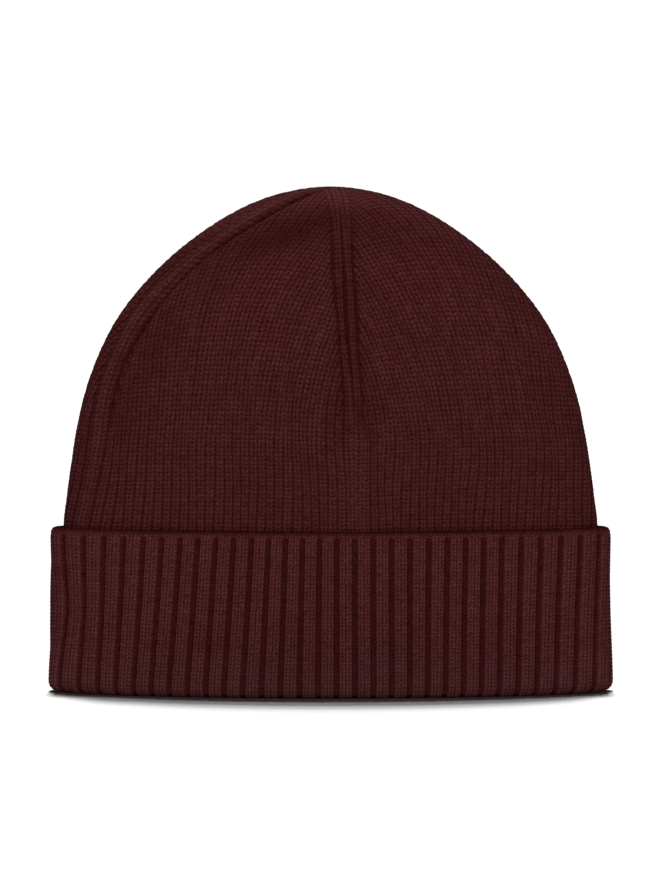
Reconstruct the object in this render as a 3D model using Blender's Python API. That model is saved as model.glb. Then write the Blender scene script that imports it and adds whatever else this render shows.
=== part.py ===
"""A knitted beanie with a turned-up ribbed cuff, standing on the fold of its cuff.

The front faces -Y, +X is to the right of the front view, +Z is up, and the origin is the
centre of the base. Seen from above the hat is a lens with round ends: knitting that was
stored flat and has opened out. Places round it are shares of the way round, from the
middle of the front towards +X. Everything is in metres.
"""

import math

import bmesh
import bpy
import numpy as np

# The hat's outline
HAT_HEIGHT = 0.202
CUFF_HEIGHT = 0.066
CROWN_WIDTH = 0.2144
CROWN_DEPTH = 0.0940
EDGE_ROUND = 0.0120  # radius of the crown's two side edges, seen from above
DRAW_IN_DROP = 0.0020  # how far below the cuff's top edge the crown begins to draw in

# The knitted cloth
CROWN_WALL = 0.0024
RIB_PLY = 0.0034  # from a rib's crest to the back of the cloth
PLY_GAP = 0.0020  # between the turned-up ply and the crown
CROWN_TUCK = 0.0100  # how far the plain knit reaches down behind the cuff
SEAM_GAP = 0.0003
SIDE_STRETCH = 0.6  # what a step in depth counts for, where the knit is stretched

# The ribs of the cuff
RIB_PITCH = 0.0072
RIB_DEPTH = 0.0016
GROOVE_SHARE = 0.34  # of the pitch
RIB_LEAN = 0.0036  # how far to the right of its foot the most leaning rib's top stands
EDGE_ROLL = 0.0032  # the smooth cast-on edge above the ribs
RIB_RUN_OUT = 0.0030  # over which the grooves run out below that edge
EDGE_DRAW_IN = 0.0008  # how far the cast-on edge pulls in

# The four darts that close the crown
DART_HALF_WIDTH = 0.0042
DART_LIFT = 0.0010
DART_VALLEY = 0.0008
DART_START = 0.23  # share of the crown's rise at which the darts begin
DART_WHOLE = 0.45  # and at which they are whole
TOP_SMOOTH = 0.97  # share of the rise above which darts and dents fade out

DENT_DEPTH = 0.0018  # of the deepest soft dent

# The crown's sections: how far up its rise, and there the width, the depth and how sharp
# the side edges are, against a plain half ellipsoid's
CROWN_SECTIONS = [
    {"up": 0.00, "wide": 1.000, "deep": 1.00, "sharp": 1.35},
    {"up": 0.15, "wide": 0.989, "deep": 1.04, "sharp": 1.35},
    {"up": 0.30, "wide": 0.994, "deep": 1.08, "sharp": 1.34},
    {"up": 0.45, "wide": 1.006, "deep": 1.12, "sharp": 1.32},
    {"up": 0.65, "wide": 1.012, "deep": 1.17, "sharp": 1.27},
    {"up": 0.78, "wide": 0.992, "deep": 1.20, "sharp": 1.20},
    {"up": 0.90, "wide": 0.964, "deep": 1.26, "sharp": 1.10},
    {"up": 1.00, "wide": 0.955, "deep": 1.30, "sharp": 1.00},
]

# Where the darts run: how far up the rise, and there how far round from the middle of the
# front and back, and from the two side edges
DART_LINES = [
    {"up": 0.00, "front": 0.0200, "side": 0.0250},
    {"up": 0.25, "front": 0.0200, "side": 0.0322},
    {"up": 0.50, "front": 0.0188, "side": 0.0362},
    {"up": 0.70, "front": 0.0178, "side": 0.0405},
    {"up": 0.80, "front": 0.0190, "side": 0.0570},
    {"up": 0.90, "front": 0.0225, "side": 0.0860},
    {"up": 1.00, "front": 0.0260, "side": 0.1150},
]

# Soft dents in the crown: where round it, how far up its rise, how wide and how high, and
# how deep against the deepest
DENTS = [
    {"round": -0.060, "up": 0.88, "wide": 0.060, "high": 0.06, "deep": 1.00},
    {"round": 0.100, "up": 0.88, "wide": 0.040, "high": 0.06, "deep": 0.45},
    {"round": 0.070, "up": 0.14, "wide": 0.016, "high": 0.16, "deep": 0.55},
    {"round": 0.128, "up": 0.20, "wide": 0.018, "high": 0.20, "deep": 0.60},
    {"round": -0.205, "up": 0.62, "wide": 0.018, "high": 0.30, "deep": 0.65},
    {"round": 0.440, "up": 0.86, "wide": 0.060, "high": 0.07, "deep": 0.90},
    {"round": 0.580, "up": 0.30, "wide": 0.020, "high": 0.22, "deep": 0.55},
]

# How the ribs lean: where round the cuff, and how far against the most leaning one
RIB_LEANS = [
    {"round": -0.236, "lean": 0.40},
    {"round": -0.140, "lean": 1.00},
    {"round": -0.055, "lean": 0.70},
    {"round": 0.020, "lean": 0.33},
    {"round": 0.300, "lean": 0.33},
]

# How finely the solids are faceted
PANEL_COLUMNS = 10  # between a dart and the next quarter mark
EDGE_COLUMNS = 1  # between a side edge and the dart beyond it
CROWN_ROWS = 15
FOLD_STEPS = 8  # round the half circle of the fold; even, so that one lies on the base
OUTLINE_STEPS = 2880
WELD_DISTANCE = 0.000001
CREASE_ANGLE = math.radians(50)  # sharper edges are shaded as edges

CROWN_COLOUR = (0.048, 0.0103, 0.0110, 1.0)
CUFF_COLOUR = (0.043, 0.0090, 0.0097, 1.0)
KNIT_ROUGHNESS = 0.92

CROWN_START = CUFF_HEIGHT - DRAW_IN_DROP
CROWN_RISE = HAT_HEIGHT - CROWN_START


def smooth(value, low, high):
    """0 below low, 1 above high, and an S-curve between them."""
    share = np.clip((value - low) / (high - low), 0.0, 1.0)
    return share * share * (3 - 2 * share)


def column(table, name):
    """One named column of a table."""
    return [row[name] for row in table]


def section(half_width, half_depth, sharpness, edge_round):
    """A dense outline seen from above, from the front towards +X: points, normals and run.

    It stands edge_round outside a core x = a sin t, y = -b cos t |cos t|^(sharpness - 1),
    an ellipse at 1 and a lens at 2. The run along it counts the knit and not the length:
    the knit is stretched round the sides, so a step in depth counts less than one in width.
    """
    turn = np.linspace(0, 2 * math.pi, OUTLINE_STEPS + 1)
    across = (half_width - edge_round) * np.sin(turn)
    bow = np.cos(turn) * np.abs(np.cos(turn)) ** (sharpness - 1)
    ahead = -(half_depth - edge_round) * bow
    normals = np.stack([np.gradient(ahead), -np.gradient(across)], axis=1)
    normals /= np.linalg.norm(normals, axis=1, keepdims=True)
    points = np.stack([across, ahead], axis=1) + edge_round * normals
    steps = np.diff(points, axis=0)
    knit = np.hypot(steps[:, 0], SIDE_STRETCH * steps[:, 1])
    return points, normals, np.concatenate([[0], np.cumsum(knit)])


def around(outline, shares, offset):
    """Points at shares of the way round an outline, moved outwards by offset."""
    points, normals, run = outline
    at = np.mod(shares, 1.0) * run[-1]
    place = np.stack([np.interp(at, run, points[:, i]) for i in (0, 1)], axis=1)
    out = np.stack([np.interp(at, run, normals[:, i]) for i in (0, 1)], axis=1)
    out /= np.linalg.norm(out, axis=1, keepdims=True)
    return place + np.reshape(offset, (-1, 1)) * out


def crown_outline(up):
    """The outline of the crown's face at a share of its rise."""
    ups = column(CROWN_SECTIONS, "up")
    wide = np.interp(up, ups, column(CROWN_SECTIONS, "wide"))
    deep = np.interp(up, ups, column(CROWN_SECTIONS, "deep"))
    sharp = np.interp(up, ups, column(CROWN_SECTIONS, "sharp"))
    drawn_in = math.sqrt(1 - up * up)
    half_width = CROWN_WIDTH / 2 * wide * drawn_in
    half_depth = CROWN_DEPTH / 2 * deep * drawn_in
    return section(half_width, half_depth, sharp, EDGE_ROUND * drawn_in)


def surface(name, rings):
    """A mesh through closed rings of points: a grid with a row for each ring, its ends
    welded together, and its rows too where they meet."""
    points = np.array(rings)
    points = np.concatenate([points, points[:, :1]], axis=1)
    mesh = bmesh.new()
    rows, columns = points.shape[:2]
    bmesh.ops.create_grid(mesh, x_segments=columns - 1, y_segments=rows - 1, size=1.0)
    for vert, point in zip(mesh.verts, points.reshape(-1, 3)):
        vert.co = point
    bmesh.ops.remove_doubles(mesh, verts=mesh.verts, dist=WELD_DISTANCE)
    bmesh.ops.recalc_face_normals(mesh, faces=mesh.faces)
    data = bpy.data.meshes.new(name)
    mesh.to_mesh(data)
    mesh.free()
    data.shade_smooth()
    data.set_sharp_from_angle(angle=CREASE_ANGLE)
    piece = bpy.data.objects.new(name, data)
    bpy.context.scene.collection.objects.link(piece)
    return piece


def crown_columns(up, round_length):
    """Shares of the crown's columns, and how far each stands out where a dart is whole.

    Each dart has a column on its crest and one in the valley on each side. Each quarter
    mark has a column too, which at the sides is on the edge of the outline, and the rest
    are evenly spread from the dart to the next mark, and from a side edge to its dart.
    """
    half = min(DART_HALF_WIDTH / round_length, 0.25 / (PANEL_COLUMNS + 3))
    ups = column(DART_LINES, "up")
    front = np.interp(up, ups, column(DART_LINES, "front"))
    side = np.interp(up, ups, column(DART_LINES, "side"))
    darts = [front, 0.25 + side, 0.5 + front, 0.75 + side]
    marks = (0.25, 0.5, 0.75, 1.0)
    beyond = (EDGE_COLUMNS, 0, EDGE_COLUMNS, 0)
    shares, relief = [], []
    for mark, more, dart, following in zip(marks, beyond, darts, darts[1:] + [1.0 + front]):
        mark = min(mark, following - 1.5 * half)
        shares += [dart - half, dart, dart + half]
        shares += list(np.linspace(dart + half, mark, PANEL_COLUMNS + 2)[1:])
        shares += list(np.linspace(mark, following - half, more + 2)[1:-1])
        relief += [-DART_VALLEY, DART_LIFT, -DART_VALLEY] + [0.0] * (PANEL_COLUMNS + 1 + more)
    return np.array(shares), np.array(relief)


def dent_depth(shares, up):
    """How far the soft dents push the crown in, each a bell in both directions."""
    depth = np.zeros_like(shares)
    for dent in DENTS:
        away = (np.mod(shares - dent["round"] + 0.5, 1.0) - 0.5) / dent["wide"]
        rise = (up - dent["up"]) / dent["high"]
        depth += DENT_DEPTH * dent["deep"] * np.exp(-(away**2) - rise**2)
    return depth


def crown_ring(rise):
    """One ring of the crown's face, at an angle above its widest section."""
    up = math.sin(rise)
    outline = crown_outline(up)
    shares, relief = crown_columns(up, outline[2][-1])
    relief = relief * smooth(up, DART_START, DART_WHOLE) - dent_depth(shares, up)
    lift = relief * (1 - smooth(up, TOP_SMOOTH, 1.0))
    flat = around(outline, shares, lift * math.cos(rise))
    return np.column_stack([flat, CROWN_START + CROWN_RISE * up + lift * up])


def build_crown():
    """The plain-knit dome, from its edge behind the cuff to its closed top.

    Its face is a surface through rings, and the wall is thickened inwards from it.
    """
    rises = np.linspace(0, math.pi / 2, CROWN_ROWS + 1)[:-1]
    rings = [crown_ring(rise) for rise in rises]
    hem = rings[0] * np.array([1.0, 1.0, 0.0]) + np.array([0.0, 0.0, CUFF_HEIGHT - CROWN_TUCK])
    top = np.tile([0.0, 0.0, HAT_HEIGHT], (len(hem), 1))
    crown = surface("crown", [hem] + rings + [top])
    wall = crown.modifiers.new("wall", "SOLIDIFY")
    wall.thickness = CROWN_WALL
    wall.offset = -1.0
    return crown


def station(offset, height, groove):
    """A point of the cuff's cross-section: how far outside the crown's face it lies, how
    high, and how much of the ribs' grooves it has."""
    return {"offset": offset, "height": height, "groove": groove}


def fold_stations(centre, radius):
    """The outer face of the fold, from its inner side down and round to its outer side.

    Its facets touch a half circle, one of them flat on the base, and the grooves run out
    towards that one.
    """
    half_step = math.pi / FOLD_STEPS / 2
    size = radius / math.cos(half_step)
    stations = []
    for step in range(FOLD_STEPS):
        angle = half_step * (2 * step + 1)
        height = max(0.0, radius - size * math.sin(angle))
        stations.append(station(centre - size * math.cos(angle), height, max(0.0, -math.cos(angle))))
    return stations


def cuff_stations():
    """The cuff's cross-section, once round, up its outer ply and back down inside."""
    face = PLY_GAP + RIB_PLY
    fold_radius = (face + RIB_PLY) / 2
    edge_radius = RIB_PLY / 2
    edge_centre = PLY_GAP + edge_radius - EDGE_DRAW_IN
    edge_side = edge_radius * math.sin(math.radians(45))
    edge_height = CUFF_HEIGHT - edge_radius + edge_side
    roll_foot = CUFF_HEIGHT - EDGE_ROLL
    inner_top = CUFF_HEIGHT - CROWN_TUCK - SEAM_GAP
    outer_ply = [
        station(face, roll_foot - RIB_RUN_OUT, 1.0),
        station(face - EDGE_DRAW_IN, roll_foot, 0.0),
        station(edge_centre + edge_side, edge_height, 0.0),
        station(edge_centre, CUFF_HEIGHT, 0.0),
        station(edge_centre - edge_side, edge_height, 0.0),
        station(PLY_GAP, roll_foot - RIB_RUN_OUT, 0.0),
        station(PLY_GAP, fold_radius, 0.0),
    ]
    inner_ply = [
        station(PLY_GAP / 2, RIB_PLY, 0.0),
        station(0.0, fold_radius, 0.0),
        station(0.0, inner_top, 0.0),
        station(-RIB_PLY, inner_top, 0.0),
    ]
    return outer_ply + inner_ply + fold_stations(face - fold_radius, fold_radius)


def build_cuff():
    """The ribbed band: an inner ply, the fold it stands on and the ply turned up outside.

    Each rib has three columns, one of them down its groove. The ribs lean, so a ring's
    columns are turned as it rises.
    """
    outline = crown_outline(0.0)
    round_length = outline[2][-1]
    widened = math.pi * (1 + SIDE_STRETCH) * (PLY_GAP + RIB_PLY)
    ribs = round((round_length + widened) / RIB_PITCH)
    places = np.array([0.0, GROOVE_SHARE / 2, 1.0 - GROOVE_SHARE / 2])
    shares = (np.arange(ribs)[:, None] + places).ravel() / ribs
    in_groove = np.tile([1.0, 0.0, 0.0], ribs)
    lean = np.interp(shares, column(RIB_LEANS, "round"), column(RIB_LEANS, "lean"), period=1.0)
    rings = []
    for place in cuff_stations():
        turned = lean * RIB_LEAN / round_length * (place["height"] / CUFF_HEIGHT - 0.5)
        offset = place["offset"] - RIB_DEPTH * place["groove"] * in_groove
        flat = around(outline, shares + turned, offset)
        rings.append(np.column_stack([flat, np.full(len(flat), place["height"])]))
    return surface("cuff", rings + rings[:1])


def dress(piece, colour):
    """Gives a piece its matt burgundy yarn."""
    material = bpy.data.materials.new(piece.name + "_knit")
    material.use_nodes = True
    shader = material.node_tree.nodes["Principled BSDF"]
    shader.inputs["Base Color"].default_value = colour
    shader.inputs["Roughness"].default_value = KNIT_ROUGHNESS
    shader.inputs["Metallic"].default_value = 0.0
    piece.data.materials.append(material)


def main():
    for old in list(bpy.data.objects):
        bpy.data.objects.remove(old, do_unlink=True)
    hat = bpy.data.objects.new("beanie", None)
    bpy.context.scene.collection.objects.link(hat)
    crown, cuff = build_crown(), build_cuff()
    dress(crown, CROWN_COLOUR)
    dress(cuff, CUFF_COLOUR)
    crown.parent = cuff.parent = hat


main()
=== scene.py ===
"""Knits the looks of a cuffed beanie round its plain model: every stitch, the yarn, the stage.

The front faces -Y, +X is to the right of the front view and +Z is up, in metres. Places
round the hat are shares of the way round its knitting, from the middle of the front
towards +X. A wale is a column of stitches, and a course is a row of them.
"""

import math

import bpy
import numpy as np
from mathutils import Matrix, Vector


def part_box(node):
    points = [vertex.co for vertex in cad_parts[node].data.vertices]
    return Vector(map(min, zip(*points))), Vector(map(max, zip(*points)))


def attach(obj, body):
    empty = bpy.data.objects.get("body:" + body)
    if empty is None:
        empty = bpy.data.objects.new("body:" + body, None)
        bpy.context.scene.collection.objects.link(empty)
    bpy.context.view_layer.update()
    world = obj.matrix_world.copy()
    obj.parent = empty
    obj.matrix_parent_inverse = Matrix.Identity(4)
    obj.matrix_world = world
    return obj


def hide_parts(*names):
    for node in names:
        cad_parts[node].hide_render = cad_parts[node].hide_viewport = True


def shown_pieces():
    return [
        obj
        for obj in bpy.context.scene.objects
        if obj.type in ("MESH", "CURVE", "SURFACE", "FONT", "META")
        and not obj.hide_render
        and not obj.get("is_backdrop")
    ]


bl_info = {
    "name": "Knitted beanie",
    "version": (1, 0, 0),
    "blender": (4, 5, 0),
    "location": "View3D > Sidebar > Beanie",
    "description": "Knits a cuffed beanie, stitch by stitch, round its plain model",
    "category": "Add Mesh",
}


def table(columns, *rows):
    """Rows of values under the names of their columns."""
    return [dict(zip(columns.split(), row)) for row in rows]


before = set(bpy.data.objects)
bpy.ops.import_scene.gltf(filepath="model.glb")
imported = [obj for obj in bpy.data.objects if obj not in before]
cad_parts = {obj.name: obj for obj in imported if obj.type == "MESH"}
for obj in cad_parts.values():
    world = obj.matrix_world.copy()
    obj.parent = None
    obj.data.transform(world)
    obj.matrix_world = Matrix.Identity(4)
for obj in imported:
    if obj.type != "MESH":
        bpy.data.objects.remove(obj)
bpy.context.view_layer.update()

CROWN_FOOT, CROWN_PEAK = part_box("crown")
CUFF_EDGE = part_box("cuff")[1]

# The cloth, as the plain model has it
CROWN_WALL = 0.0024
RIB_PLY = 0.0034
PLY_GAP = 0.0020
EDGE_ROUND = 0.0120
DRAW_IN_DROP = 0.0020
SEAM_GAP = 0.0003
SIDE_STRETCH = 0.6  # what a step in depth counts for along the knit, where it is stretched
WALE_STRETCH = 0.3  # and for the wales of the crown, which are stretched more at the sides
CUFF_FACE = PLY_GAP + RIB_PLY  # how far the cuff's ribs stand outside the crown's face

HAT_HEIGHT = CROWN_PEAK.z
HAT_MIDDLE = HAT_HEIGHT / 2
CUFF_HEIGHT = CUFF_EDGE.z
CROWN_HALF_WIDTH = CUFF_EDGE.x - CUFF_FACE
CROWN_HALF_DEPTH = CUFF_EDGE.y - CUFF_FACE
CROWN_START = CUFF_HEIGHT - DRAW_IN_DROP
CROWN_RISE = HAT_HEIGHT - CROWN_START
CROWN_HEM = CROWN_START - CROWN_FOOT.z

# The crown's sections: how far up its rise, and there the width, the depth and how sharp
# the side edges are, against a plain half ellipsoid's
CROWN_SECTIONS = table(
    "up wide deep sharp",
    (0.00, 1.000, 1.00, 1.35), (0.15, 0.989, 1.04, 1.35), (0.30, 0.994, 1.08, 1.34),
    (0.45, 1.006, 1.12, 1.32), (0.65, 1.012, 1.17, 1.27), (0.78, 0.992, 1.20, 1.20),
    (0.90, 0.964, 1.26, 1.10), (1.00, 0.955, 1.30, 1.00),
)

# Where the darts run: how far up the rise, and there how far round from the middle of the
# front and back, and from the two side edges
DART_LINES = table(
    "up front side",
    (0.00, 0.0200, 0.0250), (0.25, 0.0200, 0.0320), (0.40, 0.0201, 0.0301), (0.55, 0.0178, 0.0320),
    (0.70, 0.0177, 0.0358), (0.80, 0.0189, 0.0483), (0.90, 0.0221, 0.0760), (1.00, 0.0260, 0.1130),
)

# The side darts at heights up the crown: how much wider their two wales are, and how deep
# the groove on their far side is against the near one
SIDE_DARTS = table(
    "up size far",
    (0.00, 1.05, 1.0), (0.35, 1.15, 1.0), (0.58, 1.20, 1.0), (0.70, 1.25, 0.6), (0.82, 1.25, 0.0),
    (1.00, 1.25, 0.0),
)

# Soft dents in the crown: where round it, how far up its rise, how wide and how high, and
# how deep against the deepest
DENTS = table(
    "round up wide high deep",
    (-0.060, 0.88, 0.060, 0.06, 1.00), (0.100, 0.88, 0.040, 0.06, 0.45),
    (0.070, 0.14, 0.016, 0.16, 0.55), (0.128, 0.20, 0.018, 0.20, 0.60),
    (-0.205, 0.62, 0.018, 0.30, 0.65), (0.440, 0.86, 0.060, 0.07, 0.90),
    (0.580, 0.30, 0.020, 0.22, 0.55),
)
DENT_DEPTH = 0.0018

# Painted shade in the folds and valleys, and at the eyelets beside the front dart, as bells like the
# dents': how dark the painted shade gets there
SHADES = table(
    "round up wide high deep",
    (0.000, 0.900, 0.110, 0.038, 0.31), (-0.105, 0.850, 0.050, 0.040, 0.26),
    (-0.030, 0.902, 0.032, 0.028, 0.30), (-0.072, 0.868, 0.034, 0.034, 0.45),
    (-0.108, 0.830, 0.030, 0.045, 0.34), (0.010, 0.932, 0.030, 0.018, 0.34),
    (0.085, 0.850, 0.050, 0.050, 0.20), (-0.150, 0.740, 0.020, 0.090, 0.34),
    (-0.172, 0.550, 0.020, 0.120, 0.32), (-0.192, 0.370, 0.014, 0.110, 0.42),
    (0.028, 0.350, 0.012, 0.110, 0.36), (0.500, 0.860, 0.060, 0.050, 0.25),
    (0.0324, 0.503, 0.0028, 0.009, 0.55), (0.0315, 0.469, 0.0025, 0.007, 0.45),
    (0.0296, 0.427, 0.0025, 0.007, 0.40), (0.0287, 0.347, 0.0030, 0.007, 0.50),
    (0.0363, 0.448, 0.0022, 0.012, 0.45), (0.0354, 0.358, 0.0022, 0.008, 0.45),
)

# The height of a course up the crown
COURSE_HEIGHTS = table(
    "up high",
    (0.00, 0.00172), (0.26, 0.00174), (0.36, 0.00198), (0.60, 0.00203), (0.75, 0.00222),
    (1.00, 0.00222),
)

# The width of a wale up the crown, against its width where the first ones end at the darts
WALE_SIZES = table(
    "up size",
    (0.24, 1.000), (0.36, 0.990), (0.47, 1.015), (0.59, 1.075), (0.70, 1.120), (0.82, 1.210),
    (1.00, 1.300),
)

# The slow waver of the wales: waves round the crown and up it, and where each starts
WAVERS = table(
    "round up start",
    (5, 9.1, 1.3), (7, 3.1, 0.4), (11, -5.3, 2.1), (17, 7.7, 4.0), (29, 13.0, 5.2),
)
WAVER = 0.00022  # of each wave, to either side

# How far from even spacing the ribs stand, near their feet and near their tops
RIB_PATHS = table(
    "round low high",
    (-0.320, 0.0000, 0.0000), (-0.240, -0.0062, -0.0062), (-0.223, -0.0055, -0.0047),
    (-0.208, -0.0040, -0.0027), (-0.192, -0.0030, -0.0011), (-0.162, -0.0026, 0.0008),
    (-0.131, -0.0026, 0.0012), (-0.069, -0.0021, 0.0010), (-0.023, -0.0014, -0.0003),
    (0.008, -0.0012, -0.0012), (0.054, -0.0010, -0.0011), (0.100, -0.0013, -0.0005),
    (0.146, -0.0013, -0.0003), (0.177, -0.0005, 0.0013), (0.208, 0.0011, 0.0035),
    (0.240, 0.0035, 0.0060), (0.320, 0.0000, 0.0000),
)
RIB_HEIGHTS = (0.11, 0.90)  # how high up the cuff those two places are

# Where ribs bulge sideways: where round the cuff and how far over, how high up, by how much
RIB_BULGES = table(
    "round wide up high deep",
    (-0.228, 0.024, 0.52, 0.28, 0.0027),
)

# The four quarters between the crown's darts, and how many wales each panel has
QUARTERS = table(
    "name wales",
    ("crown_front_right", 30), ("crown_back_right", 28), ("crown_back_left", 30),
    ("crown_front_left", 28),
)
CUFF_SECTORS = ["cuff_front_right", "cuff_back_right", "cuff_back_left", "cuff_front_left"]

# The wales' way up the crown, in shares of its rise
DECREASE_START = 0.24  # from where wales end at the darts
DART_WIDENING = (DECREASE_START / 2, DECREASE_START * 1.2)  # where the front darts' wales widen
SPREAD = 0.25  # how much wider the wales beside a side dart are, low down
SPREAD_WALES = 6.0  # how many of them
SPREAD_TOP = 0.30  # where they are no wider than the rest
COURSE_SAG = 0.8  # of what a flat gore's straight courses would hang down at its sides
STEEPEST = 0.9  # how far round a gore's fan a course is followed, as an angle
MERGE_ROOM = 0.35  # of a column, within which a wale's end closes up against the dart
HEM_COURSES = 5  # below the widest section, down behind the cuff
LEAST, TINY = 1e-3, 1e-7  # stand in for slopes and ways round of nothing, at the very top

# The darts' relief: heights in metres, ways across it in wales of the dart
DART_START, DART_WHOLE, DART_FADE, TOP_SMOOTH = 0.23, 0.45, 0.84, 0.97  # up the rise
DART_LIFT = 0.0010
DART_VALLEY = 0.0008
SIDE_VALLEY = 0.0012
VALLEY_PLACE = 1.02  # from the dart's middle
RIDGE_WIDTH = 0.30  # of the two ridges, and of the valleys beside them
SIDE_RIDGE = (0.50, 1.05)  # where the flat top of a side dart's ridge ends, and its foot
DART_SHADES = (0.80, 1.00)  # how dark the painted shade is in the grooves of the front and side darts
SHADE_WIDTH, FOLD_WIDTH = 0.12, 0.11  # of the grooves' painted shade, beside a dart and along its middle

# A stitch's grooves, against the deepest: between its legs, to the next wale, and to the
# stitches above and below
MIDDLE_GROOVE = 0.80
SEAM_GROOVE = 0.98
COURSE_GROOVE = 0.42
LEG_ROUND = 0.6  # power of the sine that each leg rises by
CREST_FILL = 0.22  # how much shallower the grooves are where the legs are proudest
LOW_MIDDLE = 0.84  # of the groove between the legs is left at the crown's foot
MIDDLE_RISE = (0.10, 0.42)  # from where up the rise, and to where, it gets back the rest
SMILE_POWER, SMILE_DROP = 1.5, 0.4  # of the curve of a stitch's edge across its wale
STITCH_UNEVEN = 0.18  # how much a stitch's random number shows in how proud it stands
SIDE_FLATNESS = 0.55  # how much flatter stitches lie where the crown faces neither front nor back
SIDE_FACING = 0.28  # how far it faces front or back where that flatness has mostly gone

# The seams between wales, which vary along their way and are deeper low down and on top
SEAM_COURSES = 5  # from one random depth of a seam to the next
SEAM_SPREAD = (0.45, 1.20)  # of those depths
FOOT_SEAM = 0.35  # how much deeper they are at the crown's foot
FOOT_EVEN = 0.55  # and how much more even
FOOT_RISE = (0.08, 0.40)  # from where up the rise, and to where, that goes
TOP_SEAM = 0.55  # how much deeper they are near its top
TOP_RISE = (0.76, 0.92)  # from where up the rise, and to where, that comes
FAR_SEAM = 0.5  # of a side dart's far seam that always stays

# The yarn's marks: painted shade in its hollows and grooves, and its tone: the stitches' random
# numbers, with painted light and shade added
PAINTED_SHADE_START = 0.07  # how far down from the yarn's crest its painted shade begins to deepen
PAINTED_SHADE_WHOLE = 0.72  # and is deepest
LINING_PAINTED_SHADE, BACKS_PAINTED_SHADE = 0.6, 0.5  # painted shade on the lining behind the crown's stitches, and on the cuff's hidden backs
RANDOM_TONE = 0.35  # how much a stitch's random number shows
PAINTED_TOP_LIGHT = (0.66, 0.93)  # how straight up the crown faces where its painted highlight from the light above begins, and is whole
PAINTED_TOP_LIGHT_TONE = 2.3  # and by how much
FOOT_SHADE = 0.02  # painted shade of the crown's first courses, down in the gap behind the cuff
FOOT_COURSES = 3.4
PAINTED_BOUNCE_LIGHT = 0.9  # painted light bounced from the bright ground: how much paler the yarn is by the fold
PAINTED_BOUNCE_LIGHT_HEIGHT = 0.022
LIP_PAINTED_DARKENING = 1.0  # painted shade: how much darker the yarn is at the cuff's top edge
LIP_PAINTED_SHADE = 0.90  # how dark the painted shade is at least there
LIP_START, LIP_WHOLE = 0.0040, 0.0004  # how far below the top the painted shade of the lip begins, and is whole

# How deep the darts' seams are at heights up the crown: the middle one and the edges of the
# front and back darts, with the two wales left of them, and those of the side darts
DART_SEAMS = table(
    "up middle left right beside side fold",
    (0.00, 0.7, 0.8, 0.7, 0.8, 1.45, 0.55), (0.18, 0.5, 0.9, 0.5, 1.1, 1.45, 0.55),
    (0.30, 0.5, 1.7, 0.5, 1.6, 1.45, 0.50), (0.44, 0.8, 1.9, 0.6, 1.5, 1.45, 0.50),
    (0.52, 1.8, 1.9, 1.5, 1.1, 1.45, 0.50), (0.82, 1.6, 1.8, 1.8, 0.9, 1.60, 0.50),
    (0.90, 0.8, 0.9, 0.8, 0.9, 1.60, 0.50), (1.00, 0.5, 0.5, 0.5, 0.5, 1.20, 0.50),
)

# How finely the knit is meshed
LEVELS = 360  # of the net that the crown's face is kept on
AROUND = 1800
OUTLINE_STEPS = 2880
WALE_COLUMNS = 6
COURSE_ROWS = 3
HIDDEN_RINGS = 26  # down behind the cuff's ribs and up behind its inner ply
FOLD_STEPS, ROLL_STEPS, INSIDE_STEPS = 33, 17, 9  # round the cuff's fold, its edge and in the fold
SPREAD_STEPS = 20  # a wale, in the sum of how much wider they are
TOP_FADE = 3.0  # courses over which the stitches lose their slant at the very top

# Where a piece's parts lie in its baked picture
FACE_BOX = ((0.01, 0.01), (0.74, 0.99))
LINING_BOX = ((0.76, 0.01), (0.99, 0.60))
STRIP_START, STRIP_PITCH, STRIP_HEIGHT = 0.64, 0.06, 0.04
FACE_WIDTH = 0.98  # of its box, which the widest course takes up
CUFF_BOX = ((0.01, 0.01), (0.90, 0.99))
END_START, END_PITCH, END_WIDTH = 0.92, 0.04, 0.03

# The rib's cross-section, in shares of its width
GROOVE_HALF = 0.125  # from the middle of the groove to the first wale
GROOVE_FLOOR = 0.07  # and to where its floor ends
GROOVE_SLOPE = 0.22  # and to where the rib is at its full height
SHADE_FLOOR = 0.05  # and to where its darkest painted shade ends
PURL_RIDGE = 0.28  # height of the ridge down the groove's middle, against its depth
PURL_WIDTH = 0.045  # of that ridge
PURL_BASE, PURL_BUMP = 0.4, 0.6  # of the ridge, along its way and at each purl bump
PURL_LESS_SHADE = 0.3  # how much lighter the painted groove shade is along the ridge
PURL_DOTS = 0.30  # and on its bumps
DOT_TURNS = 8  # half turns of the bumps' painted shade across a rib, which make it lean
RIB_ROUND = 0.12  # how far the rib is rounded, against the groove's depth
WALES_A_RIB = 3  # two that stand proud and the purl one in the groove, as the yarn's map counts
RIB_START = 0.5  # where the first groove is, in ribs from the middle of the front

# Up the cuff, in metres
FOLD_GROOVE = 0.30  # how much of the grooves' depth is left under the fold
FOLD_FACING = (0.2, 0.95)  # how far down the ply faces where they begin to fade, and are faded
FOLD_COURSES = 2  # by which the stitches begin before the fold
EDGE_ROLL = 0.0021
EDGE_DRAW_IN = 0.0008
EDGE_ARC = 0.15  # what its rounding leaves off at each end, as an angle
EDGE_LEGS, EDGE_BASE = 0.85, 0.15  # of the cast-on edge's stitches, and what always stands proud
EDGE_FADE = 0.002  # over which the stitches end at the top of the edge
RIB_RUN_OUT = 0.0015  # over which the ribs end below the cast-on edge
RIB_RUN_IN = 0.004  # over which they begin inside the hat
FLARE = 0.0008  # how far the ribs stand out at their feet
FLARE_HEIGHT = 0.0350
PROFILE_STEP = 0.0001
PROFILE_SOFTENING = 0.0012

# The suns that light the floor: how high each stands behind the hat, and its share
FLOOR_SUNS = table(
    "elevation share",
    (58, 0.18), (64, 0.36), (70, 0.31), (78, 0.15),
)
FLOOR_SUN_ANGLE = 5

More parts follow.
